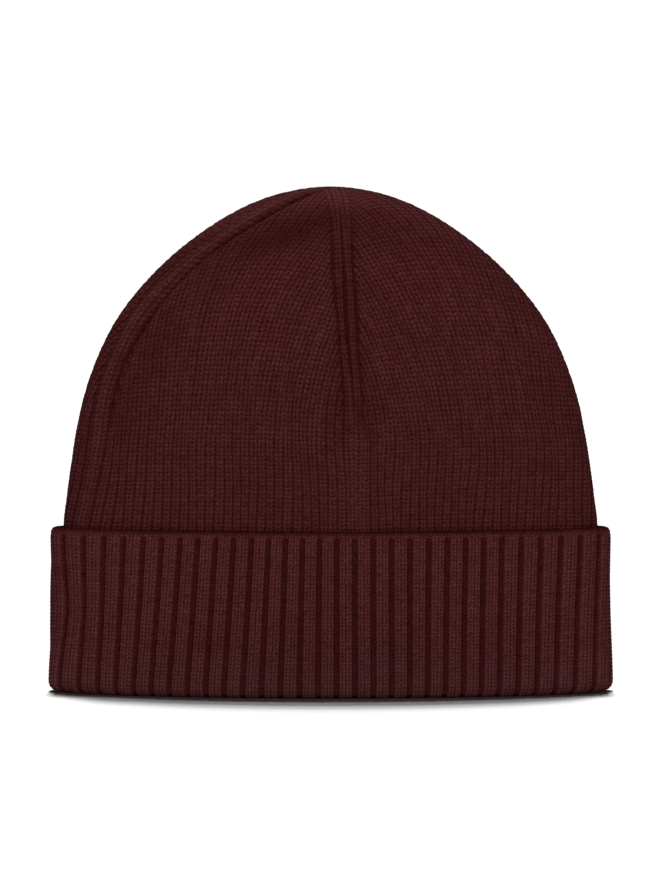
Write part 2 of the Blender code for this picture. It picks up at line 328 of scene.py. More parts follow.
# The soft lights round the hat: where, how large, and the setting that gives their power
LIGHTS = table(
    "name place size power",
    ("front light", (0.0, -2.4, HAT_MIDDLE + 0.15), 2.2, "front_power"),
    ("left light", (-2.4, 0.4, HAT_MIDDLE + 0.2), 1.6, "side_power"),
    ("right light", (2.4, 0.4, HAT_MIDDLE + 0.2), 1.6, "side_power"),
    ("back light", (0.0, 2.4, HAT_MIDDLE + 0.2), 1.6, "side_power"),
    ("top light", (0.0, 0.1, 2.4), 1.6, "top_power"),
)
FLOOR_HALF, FLOOR_POINTS = 8.0, 9
FLOOR_ROUGHNESS = 0.9
ROOM_WHITE = 1.05  # how bright the room looks to the camera

CAMERA_AIM = (-0.0002, 0.0, 0.1005)
SENSOR = 36.0  # in millimetres, as the lens is
PHOTO_WIDTH, PHOTO_HEIGHT = 660, 880

# The yarn's tints, which its colours are multiplied by: the painted shade's, and a dark and a pale
# fibre's, which also show the tone's painted light and shade; and how far the painted shade's tint goes
PAINTED_SHADE_TINT = (0.32, 0.15, 0.16)
DARK_FIBRE_AND_SHADE = (0.71, 0.49, 0.51)
PALE_FIBRE_AND_LIGHT = (1.35, 1.78, 1.76)
CROWN_SHADE_DEPTH, LINING_SHADE_DEPTH, CUFF_SHADE_DEPTH = 0.95, 0.30, 0.92
TONE_SHARE = 0.12  # what the tone mark, a stitch's random tone with painted light and shade added, counts for against the fibres' noise
CLOUDS, FLECKS, FIBRES, TUFTS = 130.0, 1900.0, 3200.0, 900.0  # scales of the noises
CLOUD_RANGE = {"From Min": 0.24, "From Max": 0.76}
FLECK_RANGE = {"From Min": 0.34, "From Max": 0.66}
FIBRE_HEIGHT = 0.0003

SEED = 7
SEAM_SEED = SEED + 100


def smooth(value, low, high):
    """0 below low, 1 above high, and an S-curve between them."""
    share = np.clip((value - low) / (high - low), 0.0, 1.0)
    return share * share * (3 - 2 * share)


def bell(distance, width):
    """A bell: exp of minus the square of the distance over the width."""
    return np.exp(-((distance / width) ** 2))


def to_nearest(share):
    """How far a share of the way round is past the nearest whole turn, or before it."""
    return np.mod(share + 0.5, 1.0) - 0.5


def bells(rows, shares, up):
    """The sum of a table's bells: exp of minus the squared distances round and up."""
    total = 0.0
    for row in rows:
        away = to_nearest(shares - row["round"]) / row["wide"]
        rise = (up - row["up"]) / row["high"]
        total = total + row["deep"] * np.exp(-(away**2) - rise**2)
    return total


def column(rows, name):
    """One named column of a table."""
    return np.array([row[name] for row in rows])


def curve(rows, name, at):
    """A column of a table against how far up, read off a cubic curve through its rows."""
    ups, values = column(rows, "up"), column(rows, name)
    slopes = np.gradient(values, ups)
    row = np.clip(np.searchsorted(ups, at) - 1, 0, len(ups) - 2)
    span = ups[row + 1] - ups[row]
    share = np.clip((at - ups[row]) / span, 0.0, 1.0)
    rest = 1 - share
    level = (1 + 2 * share) * rest**2 * values[row] + share**2 * (3 - 2 * share) * values[row + 1]
    return level + span * share * rest * (rest * slopes[row] - share * slopes[row + 1])


def unit(vectors):
    """Vectors along the last axis at length one."""
    return vectors / np.maximum(np.linalg.norm(vectors, axis=-1, keepdims=True), 1e-12)


def run_of(steps):
    """How far each point lies along its row, from the lengths of the steps between them."""
    return np.concatenate([np.zeros((*steps.shape[:-1], 1)), np.cumsum(steps, axis=-1)], axis=-1)


def read_line(places, run, values):
    """Pairs of values read off a line at places along its run, in straight steps."""
    return np.stack([np.interp(places, run, values[:, i]) for i in (0, 1)], axis=-1)


def lens_outline(half_width, half_depth, sharpness):
    """Outlines seen from above, one a row: points, normals and the run of the knit.

    Each stands EDGE_ROUND outside a core x = a sin t, y = -b cos t |cos t|^(sharpness - 1),
    an ellipse at 1 and a lens at 2. In the runs, of the cloth and of the crown's wales, a
    step in depth counts less than one in width: the knit is stretched round the sides.
    """
    turn = np.linspace(0, 2 * math.pi, OUTLINE_STEPS + 1)[None, :]
    across = (half_width - EDGE_ROUND) * np.sin(turn)
    ahead = -(half_depth - EDGE_ROUND) * np.cos(turn) * np.abs(np.cos(turn)) ** (sharpness - 1)
    normals = unit(np.stack([np.gradient(ahead, axis=1), -np.gradient(across, axis=1)], axis=2))
    points = np.stack([across, ahead], axis=2) + EDGE_ROUND * normals
    steps = np.diff(points, axis=1)
    runs = [run_of(np.hypot(steps[..., 0], stretch * steps[..., 1]))
            for stretch in (SIDE_STRETCH, WALE_STRETCH)]
    return points, normals, runs


def dart_shares(up):
    """Where the four darts and again the first one are, in shares of the way round."""
    front, side = curve(DART_LINES, "front", up), curve(DART_LINES, "side", up)
    return [front, 0.25 + side, 0.5 + front, 0.75 + side, 1.0 + front]


class Dome:
    """The crown's face, kept as a net of places and normals, with the scale of its courses.

    A level is an angle above the widest section: the rise is its sine, and the sections
    draw in with its cosine. The dents and darts are moved along the normals. Courses are
    counted along a meridian of mean radius, from the widest section to the top.
    """

    def __init__(self, settings):
        self.angle = np.linspace(0, math.pi / 2, LEVELS + 1)
        self.up = np.sin(self.angle)
        drawn_in = np.cos(self.angle)
        drawn_in[-1] = 0.0
        wide, deep, sharp = [curve(CROWN_SECTIONS, name, self.up) for name in ("wide", "deep", "sharp")]
        points, _, (cloth, run) = lens_outline(
            CROWN_HALF_WIDTH * wide[:, None], CROWN_HALF_DEPTH * deep[:, None], sharp[:, None]
        )
        self.girth = run[:, -1] * drawn_in
        self.darts = np.array(dart_shares(self.up))
        shares = np.arange(AROUND + 1) / AROUND
        place = np.empty((LEVELS + 1, AROUND + 1, 3))
        cloth_share = np.empty((LEVELS + 1, AROUND + 1))
        for level in range(LEVELS + 1):
            at = shares * run[level, -1]
            place[level, :, :2] = read_line(at, run[level], points[level])
            cloth_share[level] = np.interp(at, run[level], cloth[level]) / cloth[level, -1]
            own = np.mod(self.darts[:, level], 1.0) * cloth[level, -1]
            self.darts[:, level] = np.interp(own, cloth[level], run[level]) / run[level, -1]
        self.darts[-1] += 1.0
        place[..., :2] *= drawn_in[:, None, None]
        place[..., 2] = (CROWN_START + CROWN_RISE * self.up)[:, None]
        front = settings.plain_wale + (settings.dart_wale - settings.plain_wale) * smooth(
            self.up, *DART_WIDENING)
        side = settings.side_dart_wale * curve(SIDE_DARTS, "size", self.up)
        self.dart_wales = np.array([front, side, front, side, front])
        relief = self.large_relief(shares[None, :], cloth_share)
        self.place = place + relief[..., None] * self.facing(place)
        self.normal = self.facing(self.place)
        self.count_courses(math.sqrt(CROWN_HALF_WIDTH * CROWN_HALF_DEPTH) * wide * drawn_in)

    def large_relief(self, shares, cloth_share):
        """Darts as ridges between valleys, and dents as bells in both directions.

        The front and back darts have a ridge for each of their two wales, and the side
        darts a flat-topped one for both, which merges with the panel on its far side higher
        up. Painted shade is laid into the folds and the darts' grooves too.
        """
        relief = np.zeros_like(cloth_share)
        up = self.up[:, None]
        shade = bells(SHADES, cloth_share, up)
        begun = smooth(up, DART_START, DART_WHOLE)
        ended = 1 - smooth(up, DART_FADE, TOP_SMOOTH)
        for number in range(len(QUARTERS)):
            along = to_nearest(shares - self.darts[number][:, None])
            along = along * (self.girth / self.dart_wales[number])[:, None]
            away = np.abs(along)
            valley = bell(away - VALLEY_PLACE, RIDGE_WIDTH)
            seam = bell(away - 1.0, SHADE_WIDTH)
            if number % 2:
                ridge = 1 - smooth(away, *SIDE_RIDGE)
                near = 1 - (1 - curve(SIDE_DARTS, "far", up)) * smooth(-along, -0.5, 0.5)
                relief += begun * near * (DART_LIFT * ridge - SIDE_VALLEY * valley)
                shade = shade + DART_SHADES[1] * near * seam
            else:
                ridge = bell(away - 0.5, RIDGE_WIDTH)
                relief += begun * ended * (DART_LIFT * ridge - DART_VALLEY * valley)
                shade = shade + DART_SHADES[0] * begun * ended * (seam + bell(away, FOLD_WIDTH))
        self.shade = shade[..., None]
        relief = relief - DENT_DEPTH * bells(DENTS, cloth_share, up)
        return relief * (1 - smooth(up, TOP_SMOOTH, 1.0))

    def facing(self, place):
        """Outward normals of the net: the cross product of its two directions."""
        closed = np.concatenate([place[:, -2:-1], place, place[:, 1:2]], axis=1)
        along = (closed[:, 2:] - closed[:, :-2]) / 2
        normal = unit(np.cross(along, np.gradient(place, axis=0)))
        normal[-1] = (0.0, 0.0, 1.0)
        return normal

    def count_courses(self, radius):
        """The number of courses up to each level, and how far a gore's point lies away."""
        steps = np.hypot(np.diff(radius), CROWN_RISE * np.diff(self.up))
        self.course_height = curve(COURSE_HEIGHTS, "high", self.up)
        count = run_of(steps / ((self.course_height[1:] + self.course_height[:-1]) / 2))
        self.courses = int(round(count[-1]))
        self.count = count * self.courses / count[-1]
        around = self.girth / (2 * math.pi)
        drawing_in = np.maximum(-np.gradient(around, run_of(steps)), LEAST)
        self.gore_length = np.maximum(around / drawing_in, TINY)

    def angle_of(self, course):
        """The level that a count of courses reaches."""
        return np.interp(course, self.count, self.angle)

    def at(self, values, angle):
        """A value kept for each level, read at any angle."""
        return np.interp(angle, self.angle, values)

    def waver(self, share, angle):
        """How far along the way round the knit is shifted: a sum of slow waves, none on top."""
        shift = 0.0
        for wave in WAVERS:
            turn = 2 * math.pi * wave["round"] * share + wave["up"] * angle + wave["start"]
            shift = shift + np.sin(turn)
        return WAVER * shift * np.cos(angle) / np.maximum(self.at(self.girth, angle), LEAST)

    def sample(self, net, share, angle):
        """A net read between its points, in straight lines both ways."""
        across = np.mod(share, 1.0) * AROUND
        upward = np.clip(angle / (math.pi / 2), 0.0, 1.0) * LEVELS
        i = np.minimum(across.astype(int), AROUND - 1)
        j = np.minimum(upward.astype(int), LEVELS - 1)
        s, t = (across - i)[..., None], (upward - j)[..., None]
        low = net[j, i] * (1 - s) + net[j, i + 1] * s
        high = net[j + 1, i] * (1 - s) + net[j + 1, i + 1] * s
        return low * (1 - t) + high * t


def stitch_legs(u, w, seam=1.0, middle=1.0):
    """How proud the yarn stands in a stitch, from 0 to 1.

    Across a wale it has two rounded legs, with a groove between them and a seam on each
    side, each a power of the cosine of 2 pi u. Up a course each leg rises out of the stitch
    below and dives again, and where it is proudest the grooves are shallower.
    """
    wave = np.cos(2 * math.pi * u)
    at_seam, at_middle = ((1 + wave) / 2) ** 4, ((1 - wave) / 2) ** 4
    groove = SEAM_GROOVE * seam * at_seam + MIDDLE_GROOVE * middle * at_middle
    rise = np.abs(np.sin(math.pi * w)) ** LEG_ROUND
    proud = (1 - COURSE_GROOVE + COURSE_GROOVE * rise) * (1 - groove * (1 - CREST_FILL * rise))
    return np.clip(proud, 0.0, 1.0)


def painted_shade_of(proud):
    """How dark the painted shade is where the yarn stands so proud: a straight rise, cut at 0 and 1."""
    return np.clip((1 - proud - PAINTED_SHADE_START) / (PAINTED_SHADE_WHOLE - PAINTED_SHADE_START), 0.0, 1.0)


def smile(u):
    """The height of a stitch's edge across its wale: low in the middle, high at the sides."""
    return np.abs(2 * u - 1) ** SMILE_POWER - SMILE_DROP


def random_numbers(name, low, high, shape, seed=SEED):
    """A piece's random numbers, spread evenly from low to high and the same at each run."""
    return np.random.default_rng(seed + sum(map(ord, name))).uniform(low, high, shape)


def seam_depths(dome, wale, course, name, quarter, wales):
    """How deep each seam between wales is: uneven along its way, and set at the darts.

    A random number stands every few courses of a seam, and straight lines join them.
    """
    start = course.min()
    coarse = int(course.max() - start) // SEAM_COURSES + 3
    knots = random_numbers(name, *SEAM_SPREAD, (coarse, wales + 3), SEAM_SEED)
    up = np.sin(dome.angle_of(start + np.arange(coarse) * SEAM_COURSES))
    low = (1 - smooth(up, *FOOT_RISE))[:, None]
    top = smooth(up, *TOP_RISE)[:, None]
    knots = knots * (1 - FOOT_EVEN * low) + low * (FOOT_EVEN + FOOT_SEAM) + TOP_SEAM * top
    middle, left, right, beside, side, fold = [
        curve(DART_SEAMS, seam, up) for seam in ("middle", "left", "right", "beside", "side", "fold")
    ]
    if quarter % 2:
        knots[:, 0], knots[:, 1] = fold, side
        knots[:, -1], knots[:, -2], knots[:, -3], knots[:, -4] = middle, left, beside, beside
    else:
        knots[:, 0], knots[:, 1] = middle, right
        far = curve(SIDE_DARTS, "far", up)
        knots[:, -1], knots[:, -2] = fold, side * (FAR_SEAM + (1 - FAR_SEAM) * far)
    at = ((course - start) / SEAM_COURSES).ravel()
    row = at.astype(int)
    step = (at - row)[:, None]
    number = np.rint(wale).astype(int).ravel()
    return (knots[row] * (1 - step) + knots[row + 1] * step)[:, number]


def gore_net(dome, quarter, wales, columns_each, rows_each, slant):
    """The net of stitches between one dart and the next.

    Wales run alongside the panel's middle line and end at the darts, whose own wales keep
    beside them. Low down the wales next to a side dart are wider. A course is a straight
    line across the panel where that is laid flat, so on the dome it hangs at its ends by
    the gore's length times (1 / cos(angle) - 1). The edges of a stitch follow its smile.
    """
    wale = np.arange((wales + 2) * columns_each + 1)[None, :] / columns_each
    course = np.arange((HEM_COURSES + dome.courses) * rows_each + 1)[:, None] / rows_each - HEM_COURSES
    fade = smooth(dome.courses - course, 0.0, TOP_FADE) * smooth(course + HEM_COURSES, 0.0, 1.0)
    vee = slant * smile(wale % 1) * fade

    width = (dome.darts[quarter + 1] - dome.darts[quarter]) * dome.girth
    first, second = dome.dart_wales[quarter], dome.dart_wales[quarter + 1]
    fit = np.minimum(1.0, width / (first + second))
    first, second = first * fit, second * fit
    spread = SPREAD * (1 - smooth(dome.up, 0.0, SPREAD_TOP))
    pitch = (width - first - second) / (wales + spread * SPREAD_WALES)
    fixed = np.interp(DECREASE_START, dome.up, pitch) * curve(WALE_SIZES, "size", dome.up)
    pitch = np.where(dome.up > DECREASE_START, fixed, pitch)
    half_panel = (width - first - second) / 2
    girth = np.maximum(dome.girth, TINY)
    middle = (dome.darts[quarter] + dome.darts[quarter + 1]) / 2 + (first - second) / 2 / girth

    row_angle = dome.angle_of(course)
    row_half = dome.at(half_panel, row_angle)
    row_pitch = dome.at(pitch, row_angle)
    row_spread = dome.at(spread, row_angle)
    from_side = wale - 1 if quarter % 2 else wales + 1 - wale
    counted = np.linspace(0.0, wales, SPREAD_STEPS * wales + 1)
    wider = 1 - smooth(counted, SPREAD_WALES / 2, SPREAD_WALES * 1.5)
    wider = np.cumsum(wider) * (counted[1] - counted[0])
    widened = from_side + row_spread * np.interp(from_side, counted, wider)
    from_middle = (widened - (wales + row_spread * SPREAD_WALES) / 2) * row_pitch
    from_middle = from_middle if quarter % 2 else -from_middle
    gore, height = dome.at(dome.gore_length, row_angle), dome.at(dome.course_height, row_angle)

    def sag(half):
        """How many courses a row hangs down, so far from the gore's middle."""
        return COURSE_SAG * gore * (1 / np.cos(np.minimum(half / gore, STEEPEST)) - 1) / height

    in_dart = (wale < 1) | (wale > wales + 1)
    reach = np.where(in_dart, row_half, np.minimum(np.abs(from_middle), row_half))
    reached = course + vee - sag(reach)
    angle = dome.angle_of(reached)

    limit = dome.at(half_panel, angle)
    panel = np.clip(from_middle, -limit, limit)
    left = -limit - dome.at(first, angle) * (1 - wale)
    right = limit + dome.at(second, angle) * (wale - wales - 1)
    distance = np.where(wale <= 1, left, np.where(wale >= wales + 1, right, panel))
    share = dome.at(middle, angle) + distance / np.maximum(dome.at(dome.girth, angle), TINY)

    edge_half = dome.at(half_panel, dome.angle_of(course - sag(row_half)))
    ended = np.abs(from_middle) >= edge_half - MERGE_ROOM * row_pitch / columns_each
    ended = ended & (wale > 1) & (wale < wales + 1)
    number = np.arange(wale.shape[1])[None, :] + np.zeros(course.shape, int)
    number = np.where(ended & (from_middle < 0), columns_each, number)
    number = np.where(ended & (from_middle >= 0), (wales + 1) * columns_each, number)
    index = number + np.arange(len(course))[:, None] * wale.shape[1]
    index[-1] = index[-1, 0]
    drop = np.minimum(reached, 0.0) * CROWN_HEM / HEM_COURSES
    drop = np.where(course == -HEM_COURSES, -CROWN_HEM, drop)
    bake = np.stack([0.5 + distance / width.max() * FACE_WIDTH * np.ones_like(reached),
                     (reached + HEM_COURSES) / (dome.courses + HEM_COURSES)], axis=-1)
    return {"wale": wale, "course": course, "share": share, "angle": angle, "drop": drop,
            "index": index, "bake": np.clip(bake, 0.0, 1.0).reshape(-1, 2)}


def placed(dome, net, relief):
    """Points of a net on the dome, moved along its normals by the relief."""
    share = net["share"] + dome.waver(net["share"], net["angle"])
    points = dome.sample(dome.place, share, net["angle"])
    normals = dome.sample(dome.normal, share, net["angle"])
    points = points + unit(normals) * np.broadcast_to(relief, net["angle"].shape)[..., None]
    points[..., 2] += net["drop"]
    return points.reshape(-1, 3)


def pairs(first, second):
    """The values of two arrays side by side, as one list of pairs."""
    return np.stack(np.broadcast_arrays(first, second), axis=-1).reshape(-1, 2)


def whole(faces):
    """Which triangles have three different points, and so haven't closed up."""
    return (faces != np.roll(faces, 1, axis=1)).all(axis=1)


def net_faces(index):
    """Two triangles for each cell of a net of point numbers, without the ones that closed up."""
    a, b, c, d = index[:-1, :-1], index[:-1, 1:], index[1:, 1:], index[1:, :-1]
    faces = np.stack([a, b, c, a, c, d], axis=-1).reshape(-1, 3)
    return faces[whole(faces)]


def zip_edges(first, second, points=None):
    """Triangles between two rows of points that differ in number, and their places along.

    The steps of both rows are taken in the order of their middles, as the teeth of a zip
    close: each makes a triangle with the point that the other row has reached. Where
    points are given, their steps count by length, and otherwise all of them alike.
    """
    rows = (first, second)
    if points is None:
        runs = [np.arange(len(row)) for row in rows]
    else:
        runs = [run_of(np.linalg.norm(np.diff(points[row], axis=0), axis=1)) for row in rows]
    a, b = [(run[1:] + run[:-1]) / 2 / run[-1] for run in runs]
    i, j = np.arange(len(a)), np.searchsorted(b, a)
    k, m = np.arange(len(b)), np.searchsorted(a, b, side="right")

    def teeth(one, other):
        return np.concatenate([np.stack([one[i], one[i + 1], other[j]], axis=1),
                               np.stack([other[k + 1], other[k], one[m]], axis=1)])

    faces, along = teeth(first, second), teeth(*[run / run[-1] for run in runs])
    side = np.repeat([[0.0, 0.0, 1.0], [1.0, 1.0, 0.0]], [len(a), len(b)], axis=0)
    kept = whole(faces)
    return faces[kept], np.stack([along, side], axis=2)[kept]


def into_box(places, low, high):
    """Places between 0 and 1, moved into a box of the baked picture."""
    return np.array(low) + places * (np.array(high) - np.array(low))


def add_object(name, data):
    """An object of some data, in the scene."""
    thing = bpy.data.objects.new(name, data)
    bpy.context.scene.collection.objects.link(thing)
    return thing


def mesh_piece(name, points, faces, bake, finish, marks, knit, materials, rims):
    """A smooth-shaded object from arrays: its points, triangles, baking places and marks.

    Points that no triangle uses are dropped. If the enclosed volume comes out negative,
    the triangles are turned over, so that they face outwards. The shading breaks at edges
    between points of the rims, where a piece is cut from its neighbour.
    """
    used, faces = np.unique(np.concatenate(faces), return_inverse=True)
    faces, bake = faces.reshape(-1, 3), np.concatenate(bake)
    points = points[used]
    corners = points[faces]
    volume = np.einsum("ij,ij->i", corners[:, 0], np.cross(corners[:, 1], corners[:, 2])).sum() / 6
    if volume < 0:
        faces, bake = faces[:, ::-1], bake[:, ::-1]
    mesh = bpy.data.meshes.new(name)
    mesh.vertices.add(len(points))
    mesh.vertices.foreach_set("co", points.astype(np.float32).ravel())
    mesh.loops.add(faces.size)
    mesh.loops.foreach_set("vertex_index", faces.astype(np.int32).ravel())
    mesh.polygons.add(len(faces))
    mesh.polygons.foreach_set("loop_start", np.arange(0, faces.size, 3, dtype=np.int32))
    mesh.polygons.foreach_set("loop_total", np.full(len(faces), 3, dtype=np.int32))
    for material in materials:
        mesh.materials.append(material)
    mesh.polygons.foreach_set("material_index", finish.astype(np.int32))
    mesh.update(calc_edges=True)
    for map_name, places in (("OFBake", bake), ("Knit", knit[used][faces])):
        layer = mesh.uv_layers.new(name=map_name)
        layer.data.foreach_set("uv", places.astype(np.float32).ravel())
    for mark, values in marks.items():
        layer = mesh.attributes.new(mark, "FLOAT", "POINT")
        layer.data.foreach_set("value", values[used].astype(np.float32))
    mesh.shade_smooth()
    ends = np.empty(2 * len(mesh.edges), dtype=np.int32)
    mesh.edges.foreach_get("vertices", ends)
    at_rim = np.isin(used, rims)[ends.reshape(-1, 2)].all(axis=1)
    mesh.attributes.new("sharp_edge", "BOOLEAN", "EDGE").data.foreach_set("value", at_rim)
    return add_object(name, mesh)


def knit_quarter(dome, quarter, settings, materials):
    """One quarter of the crown, from dart to dart: a closed body of stitches and lining side.

    The outer face is the fine net with the stitches' relief. The inner face has one point
    a stitch and lies a wall's thickness behind it. Strips close the sides and the hem.
    """
    name, wales = QUARTERS[quarter]["name"], QUARTERS[quarter]["wales"]
    net = gore_net(dome, quarter, wales, WALE_COLUMNS, COURSE_ROWS, settings.slant)
    back = gore_net(dome, quarter, wales, 1, 1, 0.0)
    wale, course, share, angle = [net[key] for key in ("wale", "course", "share", "angle")]
    index = net["index"]
    rows, columns = index.shape
    seam = seam_depths(dome, wale, course, name, quarter, wales)
    middle = LOW_MIDDLE + (1 - LOW_MIDDLE) * smooth(np.sin(angle), *MIDDLE_RISE)
    proud = stitch_legs(wale % 1, course % 1, seam, middle)
    tones = random_numbers(name, -1, 1, (rows // COURSE_ROWS + 1, wales + 3))
    stitch_column = np.minimum(np.arange(columns) // WALE_COLUMNS, wales + 1)
    tone = tones[np.arange(rows) // COURSE_ROWS][:, stitch_column]
    uneven = 1 + STITCH_UNEVEN * tone * (np.abs(np.sin(math.pi * wale)) ** 0.5)
    facing = dome.sample(dome.normal, share, angle)
    flat = 1 - SIDE_FLATNESS * bell(facing[..., 1], SIDE_FACING)
    relief = settings.stitch_depth * flat * (proud * uneven - 1)
    # painted shade in the gap behind the cuff
    foot = FOOT_SHADE * (1 - smooth(course, 1.0, FOOT_COURSES))
    # a painted highlight where the crown faces up, added to the tone mark
    painted_top_light = PAINTED_TOP_LIGHT_TONE * smooth(facing[..., 2], *PAINTED_TOP_LIGHT)
    # painted shade of the folds, valleys and dart grooves, kept on the dome's net
    fold = dome.sample(dome.shade, share, angle)[..., 0]
    # painted shade: in the stitches' hollows, behind the cuff, and in the folds and dart grooves
    shaded = 1 - (1 - painted_shade_of(proud)) * (1 - foot) * (1 - fold)

    points = np.concatenate([placed(dome, net, relief), placed(dome, back, -CROWN_WALL)])
    lining = back["index"] + rows * columns
    faces = [net_faces(index), net_faces(lining)[:, ::-1]]
    places = np.concatenate([into_box(net["bake"], *FACE_BOX), into_box(back["bake"], *LINING_BOX)])
    bake = [places[side] for side in faces]
    edges = ((index[:, 0], lining[:, 0]), (lining[:, -1], index[:, -1]), (lining[0], index[0]))
    for step, (first, second) in enumerate(edges):
        strip, places = zip_edges(first, second)
        low = STRIP_START + STRIP_PITCH * step
        faces.append(strip)
        bake.append(into_box(places, (LINING_BOX[0][0], low), (LINING_BOX[1][0], low + STRIP_HEIGHT)))
    finish = np.concatenate([np.zeros(len(faces[0])), np.ones(sum(map(len, faces[1:])))])
    ones = np.ones(lining.size)
    # painted shade is one mark; the tone mark is each stitch's random tone with the painted highlight
    # on top
    marks = {
        "hollow": np.concatenate([shaded.ravel(), LINING_PAINTED_SHADE * ones]),
        "tone": np.concatenate([(RANDOM_TONE * tone + painted_top_light).ravel(), 0 * ones]),
    }
    knit = np.concatenate([pairs(side["wale"], side["course"]) for side in (net, back)])
    rims = np.concatenate([index[:, 0], index[:, -1]])
    piece = mesh_piece(name, points, faces, bake, finish, marks, knit, materials, rims)
    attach(piece, "root")
    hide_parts("crown")
    return piece


def arc_points(middle, radius, turns):
    """Points of an arc about a middle, at angles from +X towards +Y."""
    return np.stack([middle[0] + radius * np.cos(turns), middle[1] + radius * np.sin(turns)], axis=1)


def cuff_profile():
    """The cuff's cross-section once round, in fine steps: offset and height, and its marks.

    It runs down the inner face, round the fold, up the ribs, over the cast-on edge, down
    behind the ribs, round inside the fold and up behind the inner ply. Corners are
    softened by taking the mean of neighbouring steps.
    """
    radius = (CUFF_FACE + RIB_PLY) / 2
    edge = RIB_PLY / 2
    inner_top = CROWN_FOOT.z - SEAM_GAP
    ribs_top = CUFF_HEIGHT - EDGE_ROLL - RIB_RUN_OUT
    fold = np.linspace(math.pi, 2 * math.pi, FOLD_STEPS)[1:-1]
    roll = np.linspace(EDGE_ARC, math.pi - EDGE_ARC, ROLL_STEPS)
    inside = np.linspace(2 * math.pi, math.pi, INSIDE_STEPS)
    gap = PLY_GAP / 2
    corners = np.concatenate([
        [(-RIB_PLY, inner_top), (-RIB_PLY, radius)],
        arc_points((CUFF_FACE - radius, radius), radius, fold),
        [(CUFF_FACE, radius), (CUFF_FACE, ribs_top)],
        [(CUFF_FACE - EDGE_DRAW_IN / 2, CUFF_HEIGHT - EDGE_ROLL)],
        arc_points((PLY_GAP + edge - EDGE_DRAW_IN, CUFF_HEIGHT - edge), edge, roll),
        [(PLY_GAP, ribs_top), (PLY_GAP, RIB_PLY + PLY_GAP)],
        np.stack([gap * (1 + np.cos(inside)), RIB_PLY + gap * (1 + np.sin(inside))], axis=1),
        [(0.0, inner_top), (-RIB_PLY, inner_top)],
    ])
    run = run_of(np.linalg.norm(np.diff(corners, axis=0), axis=1))
    arc = np.arange(0, run[-1], PROFILE_STEP)
    line = read_line(arc, run, corners)
    reach = int(PROFILE_SOFTENING / PROFILE_STEP / 2)
    soft = sum(np.roll(line, step, axis=0) for step in range(-reach, reach + 1)) / (2 * reach + 1)
    fold_start, ribs_end = run[1], run[4 + len(fold)]
    line = np.where((arc < fold_start - 2 * radius)[:, None], line, soft)
    out = unit(np.stack([np.gradient(line[:, 1]), -np.gradient(line[:, 0])], axis=1))
    return {"arc": arc, "line": line, "out": out, "fold": fold_start,
            "top": ribs_end + edge * (math.pi / 2), "end": run[-1]}


def cuff_rows(profile, course_height):
    """Where the cuff's rings lie along its cross-section, and what each shows.

    Inside there is one ring a course, round the fold and up the ribs there are
    COURSE_ROWS a course up to the cast-on edge, and the hidden backs have a few.
    """
    start = profile["fold"] - course_height * FOLD_COURSES
    fine_count = round((profile["top"] + EDGE_FADE / 2 - start) / course_height)
    fine = start + np.arange(fine_count * COURSE_ROWS + 1) * course_height / COURSE_ROWS
    inside = np.linspace(0, start, int(start / course_height) + 1)[:-1]
    hidden = np.linspace(fine[-1], profile["end"], HIDDEN_RINGS)[1:]
    before, after = np.zeros(len(inside)), np.zeros(len(hidden))
    stitch = np.concatenate([before, np.arange(len(fine)) % COURSE_ROWS / COURSE_ROWS, after])
    is_fine = np.concatenate([before, np.ones(len(fine)), after])
    return np.concatenate([inside, fine, hidden]), stitch, is_fine


def rib_columns(ribs):
    """Across each rib: where its columns lie, the wale's u there, and which are in a wale."""
    u = np.arange(WALE_COLUMNS) / WALE_COLUMNS
    wale_width = (1 - 2 * GROOVE_HALF) / 2
    at = np.concatenate([[0.0, GROOVE_HALF / 2], GROOVE_HALF + wale_width * u, 0.5 + wale_width * u,
                         [1 - GROOVE_HALF, 1 - GROOVE_HALF / 2]])
    phase = np.concatenate([np.zeros(2), u, u, np.zeros(2)])
    in_wale = np.concatenate([np.zeros(2), np.ones(2 * WALE_COLUMNS), [1.0, 0.0]])
    at = (np.arange(ribs)[:, None] + at).ravel()
    phase, in_wale = [np.append(np.tile(values, ribs), 0.0) for values in (phase, in_wale)]
    return np.append(at, ribs), phase, in_wale


def rib_relief(at, stitch, groove_depth):
    """A rib's section: rounded, with a groove at each side and a purl ridge down its middle."""
    from_groove = np.abs(to_nearest(at))
    crest = RIB_ROUND * groove_depth * (np.cos(math.pi * (from_groove * 2 - 1)) - 1) / 2
    side = crest - groove_depth * (1 - smooth(from_groove, GROOVE_FLOOR, GROOVE_SLOPE))
    ridge = PURL_RIDGE * groove_depth * bell(from_groove, PURL_WIDTH)
    bumps = PURL_BASE + PURL_BUMP * np.sin(math.pi * stitch[:, None]) ** 2
    return side[None, :] + ridge[None, :] * bumps


def rib_spots(share, upward, outline):
    """Where the ribs stand on the cuff's outline: points and normals, after their leaning."""
    points, normals, run = outline
    low, high = [
        np.interp(share, column(RIB_PATHS, "round"), column(RIB_PATHS, place), period=1.0)
        for place in ("low", "high")
    ]
    risen = (upward - RIB_HEIGHTS[0]) / (RIB_HEIGHTS[1] - RIB_HEIGHTS[0])
    sideways = low + (high - low) * risen + bells(RIB_BULGES, share, upward)
    place = np.mod(share + sideways / run[-1], 1.0) * run[-1]
    return read_line(place, run, points), unit(read_line(place, run, normals))


